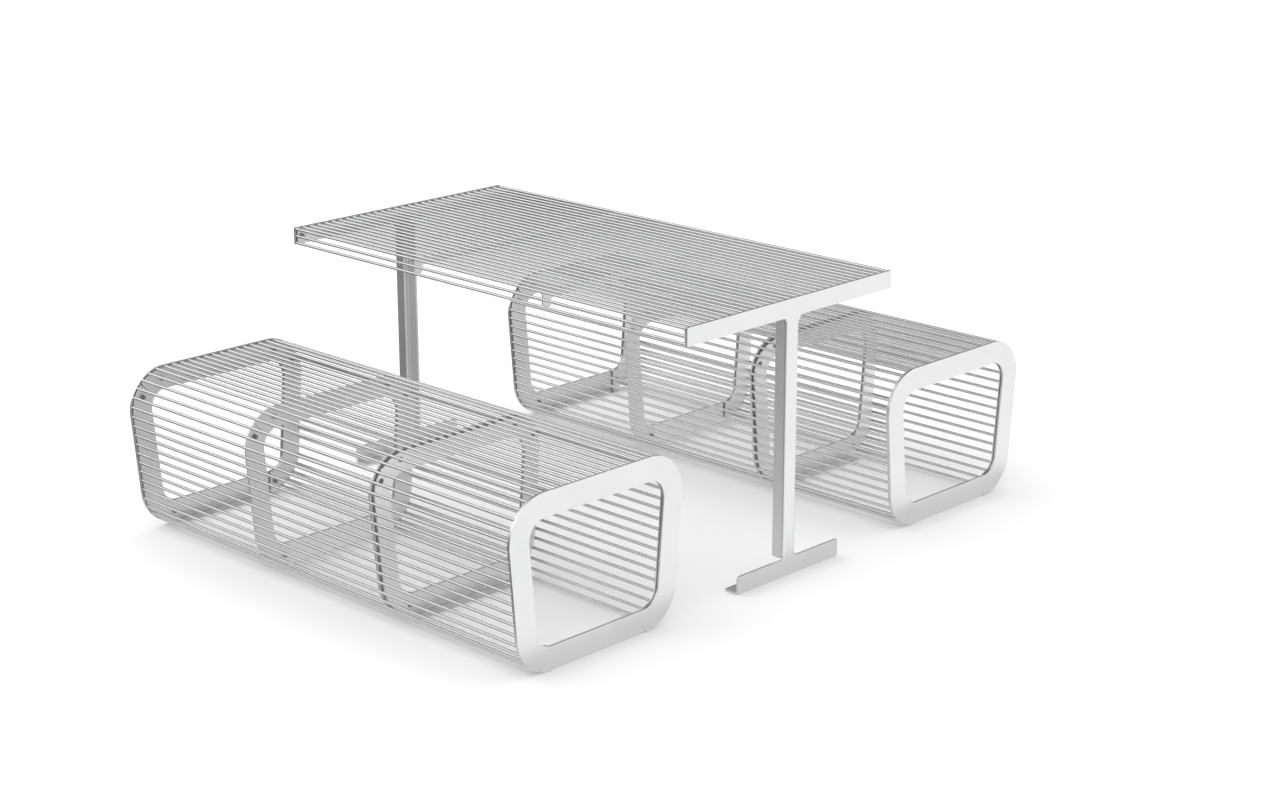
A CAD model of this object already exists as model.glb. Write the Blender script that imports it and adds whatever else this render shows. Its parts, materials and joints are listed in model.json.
import json
import math

import bmesh
import bpy
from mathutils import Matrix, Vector


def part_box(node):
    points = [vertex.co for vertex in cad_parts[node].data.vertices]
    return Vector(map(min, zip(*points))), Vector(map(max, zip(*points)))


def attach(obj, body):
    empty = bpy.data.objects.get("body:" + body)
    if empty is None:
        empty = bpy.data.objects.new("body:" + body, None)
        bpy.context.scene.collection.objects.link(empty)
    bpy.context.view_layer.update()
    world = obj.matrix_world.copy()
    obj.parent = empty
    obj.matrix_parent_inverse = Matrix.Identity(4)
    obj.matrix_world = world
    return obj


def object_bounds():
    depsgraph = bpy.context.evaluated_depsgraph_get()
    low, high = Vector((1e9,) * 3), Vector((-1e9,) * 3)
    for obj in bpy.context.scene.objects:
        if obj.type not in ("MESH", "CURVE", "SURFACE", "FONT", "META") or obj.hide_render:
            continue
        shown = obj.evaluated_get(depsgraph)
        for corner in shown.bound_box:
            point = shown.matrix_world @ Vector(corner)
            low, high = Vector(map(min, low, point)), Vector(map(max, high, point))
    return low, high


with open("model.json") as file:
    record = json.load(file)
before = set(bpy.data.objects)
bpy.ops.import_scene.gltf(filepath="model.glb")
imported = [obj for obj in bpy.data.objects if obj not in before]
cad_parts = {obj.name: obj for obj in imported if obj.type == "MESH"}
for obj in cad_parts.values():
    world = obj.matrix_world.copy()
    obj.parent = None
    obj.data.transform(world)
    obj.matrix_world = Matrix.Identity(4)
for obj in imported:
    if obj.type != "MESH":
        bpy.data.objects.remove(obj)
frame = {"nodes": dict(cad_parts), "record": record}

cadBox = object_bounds()
nodes = frame["nodes"]
mm = 0.001
print("frame loaded:", len(nodes), "nodes")


# a shader socket that can be used in sums, so that masks read as plain maths
class Sock:
    def __init__(self, tree, out):
        self.tree = tree
        self.out = out

    def maths(self, operation, *values):
        return self.tree.add("ShaderNodeMath", {"operation": operation}, dict(enumerate(values)))

    def __add__(self, other):
        return self.maths("ADD", self, other)

    def __sub__(self, other):
        return self.maths("SUBTRACT", self, other)

    def __mul__(self, other):
        return self.maths("MULTIPLY", self, other)

    def __rsub__(self, other):
        return self.maths("SUBTRACT", other, self)

    __radd__ = __add__
    __rmul__ = __mul__


# a material or world under construction: add() makes every node
class Shader:
    def __init__(self, owner):
        owner.use_nodes = True
        self.nodes = owner.node_tree.nodes
        self.links = owner.node_tree.links
        self.nodes.clear()

    def add(self, kind, settings=None, sockets=None, out=0):
        node = self.nodes.new(kind)
        for name, value in (settings or {}).items():
            setattr(node, name, value)
        for name, value in (sockets or {}).items():
            if isinstance(value, Sock):
                self.links.new(value.out, node.inputs[name])
            else:
                node.inputs[name].default_value = value
        return Sock(self, node.outputs[out])

    # on a Mix node, inputs 6 and 7 and output 2 are the colour ones
    def mixColour(self, factor, first, second):
        sockets = {"Factor": factor, 6: first, 7: second}
        return self.add("ShaderNodeMix", {"data_type": "RGBA"}, sockets, out=2)

    def noise(self, coords, scale, detail=2.0, roughness=0.5):
        sockets = {"Vector": coords, "Scale": scale, "Detail": detail, "Roughness": roughness}
        return self.add("ShaderNodeTexNoise", {}, sockets)

    def stretched(self, coords, scale):
        return self.add("ShaderNodeVectorMath", {"operation": "MULTIPLY"}, {0: coords, 1: scale})

    def between(self, value, low, high):  # value from low to high, as 0 to 1
        sockets = {"Value": value, "From Min": low, "From Max": high}
        return self.add("ShaderNodeMapRange", {"clamp": True}, sockets)

    def objectCoords(self):  # metres in the shared frame
        return self.add("ShaderNodeTexCoord", out=3)

    def finish(self, surface, output="ShaderNodeOutputMaterial"):
        node = self.nodes.new(output)
        self.links.new(surface.out, node.inputs["Surface"])


def grey(value, warm=0.0):
    return (value + warm, value, value - warm, 1.0)


# sheet steel of the leg plates and rings: blasted, then given a satin clear finish
plateFinish = {
    "light": grey(0.88),
    "dark": grey(0.83, -0.004),
    "cloudsPerMetre": 5.0,
    "grainPerMetre": 1500.0,
    "grainDepth": 0.005 * mm,
    "metallic": 0.85,
    "roughness": 0.31,
    "roughnessSwing": 0.08,
}

# drawn bar: fine lines along its length
rodFinish = {
    "light": grey(0.80),
    "dark": grey(0.74, -0.003),
    "cloudsPerMetre": 30.0,
    "linesPerMetre": 2400.0,
    "lineStretch": 0.012,
    "lineDepth": 0.002 * mm,
    "metallic": 0.85,
    "roughness": 0.22,
    "roughnessSwing": 0.06,
}

# ribs: the same sheet as the plates, thinner and laser cut
ribFinish = dict(plateFinish, light=grey(0.84), dark=grey(0.78, -0.004), roughness=0.38)

# turned and forged fasteners, left darker
fastenerFinish = {
    "light": grey(0.36),
    "dark": grey(0.24),
    "cloudsPerMetre": 30.0,
    "grainPerMetre": 2600.0,
    "grainDepth": 0.008 * mm,
    "metallic": 0.9,
    "roughness": 0.34,
    "roughnessSwing": 0.12,
}

# spacers: turned like the fasteners, a little lighter
spacerFinish = dict(fastenerFinish, light=grey(0.46), dark=grey(0.34))

# weld beads: a little heat tint and soot in the ripples
weldFinish = {
    "light": grey(0.60),
    "dark": grey(0.36, 0.010),
    "cloudsPerMetre": 30.0,
    "grainPerMetre": 900.0,
    "grainDepth": 0.03 * mm,
    "metallic": 0.8,
    "roughness": 0.40,
    "roughnessSwing": 0.15,
}


# what all the finishes share: the noise of each layer, as (detail, roughness), how much of
# each goes into the shade, and the noise values between which the shade runs from 0 to 1
layers = {
    "lines": (3.0, 0.6),
    "grain": (4.0, 0.65),
    "clouds": (5.0, 0.6),
    "fineShare": 0.45,
    "cloudShare": 0.55,
    "shadeRange": (0.36, 0.64),
}


def metal(name, look):
    mat = bpy.data.materials.new(name)
    sh = Shader(mat)
    coords = sh.objectCoords()
    if "linesPerMetre" in look:
        drawn = sh.stretched(coords, (look["lineStretch"], 1.0, 1.0))
        fine = sh.noise(drawn, look["linesPerMetre"], *layers["lines"])
        depth = look["lineDepth"]
    else:
        fine = sh.noise(coords, look["grainPerMetre"], *layers["grain"])
        depth = look["grainDepth"]
    clouds = sh.noise(coords, look["cloudsPerMetre"], *layers["clouds"])
    both = fine * layers["fineShare"] + clouds * layers["cloudShare"]
    shade = sh.between(both, *layers["shadeRange"])
    colour = sh.mixColour(shade, look["dark"], look["light"])
    rough = look["roughness"] + (shade - 0.5) * look["roughnessSwing"]
    bump = sh.add("ShaderNodeBump", {}, {"Strength": 1.0, "Distance": depth, "Height": fine})
    sockets = {"Base Color": colour, "Roughness": rough, "Normal": bump}
    sockets["Metallic"] = look["metallic"]
    sh.finish(sh.add("ShaderNodeBsdfPrincipled", {}, sockets))
    return mat


finishes = {
    "plate": metal("satinPlate", plateFinish),
    "rib": metal("laserCutRib", ribFinish),
    "rod": metal("drawnRod", rodFinish),
    "fastener": metal("darkFastener", fastenerFinish),
    "spacer": metal("spacerWasher", spacerFinish),
    "weld": metal("weldBead", weldFinish),
}
slotOf = {part["node"]: part["material_slot"] for part in frame["record"]["subparts"]}


# the edges of cut sheet are broken with a file: a small round, so that they catch the light
edgeBreak = {"plate": 0.5 * mm, "rib": 0.35 * mm, "segments": 2, "angle": math.radians(40)}


def dressNodes():
    for name, node in nodes.items():
        kind = slotOf[name]
        for holder in node.material_slots:
            holder.material = finishes[kind]
        if kind in ("plate", "rib"):
            bevel = node.modifiers.new("edgeBreak", "BEVEL")
            bevel.width = edgeBreak[kind]
            bevel.segments = edgeBreak["segments"]
            bevel.limit_method = "ANGLE"
            bevel.angle_limit = edgeBreak["angle"]
            bevel.use_clamp_overlap = False
            bevel.harden_normals = True
    print("CAD nodes dressed")


dressNodes()


# one weld on one side of a rod, where it crosses a rib
weldShape = {
    "rodRadius": 4 * mm,
    "bead": 1.1 * mm,  # radius of its own section
    "sweep": math.radians(78),  # how far it runs round the rod, each way
    "steps": 8,  # along it
    "sides": 5,  # round its section
    "sectionFrom": math.radians(-25),
    "sectionSweep": math.radians(140),
    "ripple": 0.12,
    "rippleTurn": 5,
    "rippleShift": 1.7,  # from one rod to the next
    "endPower": 4,  # the higher, the blunter its ends
    "thinnest": 0.12,  # at its very ends, as a part of the full section
}
mergeWithin = 0.01 * mm


# (y, z) of the centre of every rod in a node: each rod is one island of its mesh
def rodCentres(node):
    mesh = nodes[node].data
    form = bmesh.new()
    form.from_mesh(mesh)
    bmesh.ops.remove_doubles(form, verts=form.verts, dist=mergeWithin)
    left = set(form.verts)
    centres = []
    while left:
        island = {left.pop()}
        rim = list(island)
        while rim:
            near = {edge.other_vert(v) for v in rim for edge in v.link_edges} & left
            left -= near
            island |= near
            rim = list(near)
        ys = [v.co.y for v in island]
        zs = [v.co.z for v in island]
        centres.append(Vector(((min(ys) + max(ys)) / 2, (min(zs) + max(zs)) / 2)))
    form.free()
    return centres


# directions from the rods towards the rib's body: square to the row of rods, towards inside
def inward(centres, inside):
    ways = []
    for i, here in enumerate(centres):
        along = centres[min(i + 1, len(centres) - 1)] - centres[max(i - 1, 0)]
        way = Vector((-along.y, along.x)).normalized()
        ways.append(way if way.dot(inside - here) > 0 else -way)
    return ways


# one bead: a bent tube with round ends, hugging the rod where it meets the rib's face
def addBead(form, x, side, centre, way, shift):
    shape = weldShape
    middle = math.atan2(way.y, way.x)
    rows = []
    for i in range(shape["steps"] + 1):
        turn = 2 * i / shape["steps"] - 1
        ripple = 1 + shape["ripple"] * math.sin(shape["rippleTurn"] * i + shift)
        swell = math.sqrt(max(0.0, 1 - turn ** shape["endPower"])) * ripple
        thick = shape["bead"] * max(shape["thinnest"], swell)
        angle = middle + turn * shape["sweep"]
        out = Vector((0, math.cos(angle), math.sin(angle)))
        core = Vector((x, centre.x, centre.y)) + out * shape["rodRadius"]
        ring = []
        for k in range(shape["sides"]):
            bend = shape["sectionFrom"] + k * shape["sectionSweep"] / (shape["sides"] - 1)
            lean = Vector((side, 0, 0)) * math.sin(bend) + out * math.cos(bend)
            ring.append(form.verts.new(core + thick * lean))
        rows.append(ring)
    for a, b in zip(rows, rows[1:]):
        for k in range(shape["sides"]):
            n = (k + 1) % shape["sides"]
            form.faces.new((a[k], a[n], b[n], b[k]))
    form.faces.new(rows[0][::-1])
    form.faces.new(rows[-1])


# the welds of one panel of rods, as one piece; order sorts its rods, inside is a (y, z) that
# its ribs lie towards. The row of two rods at the table's edge is too short for a direction.
def makeWelds(name, rodNode, ribNodes, order, inside):
    centres = sorted(rodCentres(rodNode), key=order)
    if len(centres) > 2:
        ways = inward(centres, inside)
    else:
        ways = [(inside - centre).normalized() for centre in centres]
    form = bmesh.new()
    for rib in ribNodes:
        ribLow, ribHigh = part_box(rib)
        for x, side in ((ribLow.x, -1), (ribHigh.x, 1)):
            for i, (centre, way) in enumerate(zip(centres, ways)):
                addBead(form, x, side, centre, way, i * weldShape["rippleShift"] + side)
    bmesh.ops.recalc_face_normals(form, faces=form.faces)
    mesh = bpy.data.meshes.new(name)
    form.to_mesh(mesh)
    form.free()
    mesh.shade_smooth()
    welds = bpy.data.objects.new(name, mesh)
    bpy.context.scene.collection.objects.link(welds)
    mesh.materials.append(finishes["weld"])
    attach(welds, "root")


def weldEverything():
    tableRibs = [f"table_rib_{i}" for i in range(1, 5)]
    low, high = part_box("table_top_rods")
    farBelow = Vector((0, low.z - 1))
    makeWelds("table_top_welds", "table_top_rods", tableRibs, lambda c: c.x, farBelow)
    for edge in ("front", "rear"):
        rods = f"table_{edge}_edge_rods"
        rodLow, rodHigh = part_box(rods)
        midHeight = Vector((0, (rodLow.z + rodHigh.z) / 2))
        makeWelds(f"table_{edge}_edge_welds", rods, tableRibs, lambda c: c.y, midHeight)
    for bench in ("front_bench", "rear_bench"):
        ringLow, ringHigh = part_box(f"{bench}_ring_1")
        middle = Vector(((ringLow.y + ringHigh.y) / 2, (ringLow.z + ringHigh.z) / 2))
        for panel in ("seat", "outer", "inner"):
            ribs = [f"{bench}_{panel}_rib_{i}" for i in range(1, 5)]
            order = (lambda c: c.x) if panel == "seat" else (lambda c: c.y)
            makeWelds(f"{bench}_{panel}_welds", f"{bench}_{panel}_rods", ribs, order, middle)
    print("welds laid")


weldEverything()


# seen from above the floor is white; its soft light comes straight down on it alone
floorLook = {
    "size": 120.0,
    "cells": 8,
    "colour": grey(0.90),
    "grain": grey(0.885),
    "grainPerMetre": 300.0,
    "light": 2.58,
    "softness": math.radians(125),
}


def makeFloor():
    mesh = bpy.data.meshes.new("floor")
    form = bmesh.new()
    cells = floorLook["cells"]
    bmesh.ops.create_grid(form, x_segments=cells, y_segments=cells, size=floorLook["size"] / 2)
    form.to_mesh(mesh)
    form.free()
    floor = bpy.data.objects.new("floor", mesh)
    bpy.context.scene.collection.objects.link(floor)
    mat = bpy.data.materials.new("paleFloor")
    sh = Shader(mat)
    grain = sh.noise(sh.objectCoords(), floorLook["grainPerMetre"])
    colour = sh.mixColour(grain, floorLook["grain"], floorLook["colour"])
    sh.finish(sh.add("ShaderNodeBsdfDiffuse", {}, {"Color": colour}))
    mesh.materials.append(mat)
    floor.visible_glossy = False
    floor.visible_diffuse = False
    floor.visible_shadow = False
    lit = bpy.data.collections.new("litFromAbove")
    lit.objects.link(floor)
    light = bpy.data.lights.new("floorLight", "SUN")
    light.energy = floorLook["light"]
    light.angle = floorLook["softness"]
    lamp = bpy.data.objects.new("floorLight", light)
    lamp.light_linking.receiver_collection = lit
    bpy.context.scene.collection.objects.link(lamp)
    print("floor laid")


makeFloor()


# close to the ground the steel mirrors the shade under the set, not the bright studio: an
# evenly glowing sheet, dimmer than the studio's lights, that only reflections see; it
# reaches a margin beyond the set
shadeSheet = {"margin": 0.12, "glow": 0.62, "lift": 0.2 * mm}


def makeShadeSheet():
    low, high = cadBox
    form = bmesh.new()
    bmesh.ops.create_grid(form, x_segments=2, y_segments=2, size=0.5)  # one metre square
    for v in form.verts:
        v.co.x *= high.x - low.x + 2 * shadeSheet["margin"]
        v.co.y *= high.y - low.y + 2 * shadeSheet["margin"]
    mesh = bpy.data.meshes.new("shadeSheet")
    form.to_mesh(mesh)
    form.free()
    sheet = bpy.data.objects.new("shadeSheet", mesh)
    sheet.location = ((low.x + high.x) / 2, (low.y + high.y) / 2, shadeSheet["lift"])
    bpy.context.scene.collection.objects.link(sheet)
    mat = bpy.data.materials.new("shadeSheet")
    sh = Shader(mat)
    sh.finish(sh.add("ShaderNodeEmission", {}, {"Strength": shadeSheet["glow"]}))
    mesh.materials.append(mat)
    sheet.visible_camera = False
    sheet.visible_diffuse = False
    sheet.visible_shadow = False
    print("shade sheet laid")


makeShadeSheet()


# the studio round the object, by direction: a soft box in front on the left, a bright
# wall behind on the right, and grey elsewhere; edges and tops are where each fades
studio = {
    "grey": 0.16,
    "box": 1.15,
    "boxTowards": (-0.69, -0.72, 0.0),
    "boxEdge": (0.20, 0.60),
    "boxBottom": (0.0, 0.18),
    "boxTop": (0.70, 0.95),
    "wall": 0.88,
    "wallTowards": (0.80, 0.60, 0.0),
    "wallEdge": (-0.05, 0.45),
    "wallTop": (0.25, 0.65),
}


def makeStudio():
    world = bpy.data.worlds.new("studio")
    bpy.context.scene.world = world
    sh = Shader(world)
    way = sh.add("ShaderNodeTexCoord")
    height = sh.add("ShaderNodeSeparateXYZ", {}, {"Vector": way}, out=2)

    def towards(aim):
        sockets = {0: way, 1: aim}
        return sh.add("ShaderNodeVectorMath", {"operation": "DOT_PRODUCT"}, sockets, out=1)

    box = sh.between(towards(studio["boxTowards"]), *studio["boxEdge"])
    box = box * sh.between(height, *studio["boxBottom"])
    box = box * (1 - sh.between(height, *studio["boxTop"]))
    wall = sh.between(towards(studio["wallTowards"]), *studio["wallEdge"])
    wall = wall * (1 - sh.between(height, *studio["wallTop"]))
    strength = box * studio["box"] + wall * studio["wall"] + studio["grey"]
    surface = sh.add("ShaderNodeBackground", {}, {"Color": grey(1.0), "Strength": strength})
    sh.finish(surface, "ShaderNodeOutputWorld")
    bpy.context.scene.view_settings.view_transform = "Standard"
    print("studio set")


makeStudio()


# where the camera stands in metres, its turn and downward tilt in degrees, its lens in mm
camera = {
    "at": (4.63565, -4.56786, 2.34001),
    "turn": 44.030,
    "down": 17.281,
    "lens": 68.882,
    "film": 36.0,
}


def makeCamera():
    view = bpy.data.cameras.new("camera")
    view.lens = camera["lens"]
    view.sensor_width = camera["film"]
    eye = bpy.data.objects.new("camera", view)
    eye.location = camera["at"]
    eye.rotation_euler = (math.radians(90 - camera["down"]), 0, math.radians(camera["turn"]))
    bpy.context.scene.collection.objects.link(eye)
    bpy.context.scene.camera = eye
    print("camera placed")


makeCamera()

print("size written")
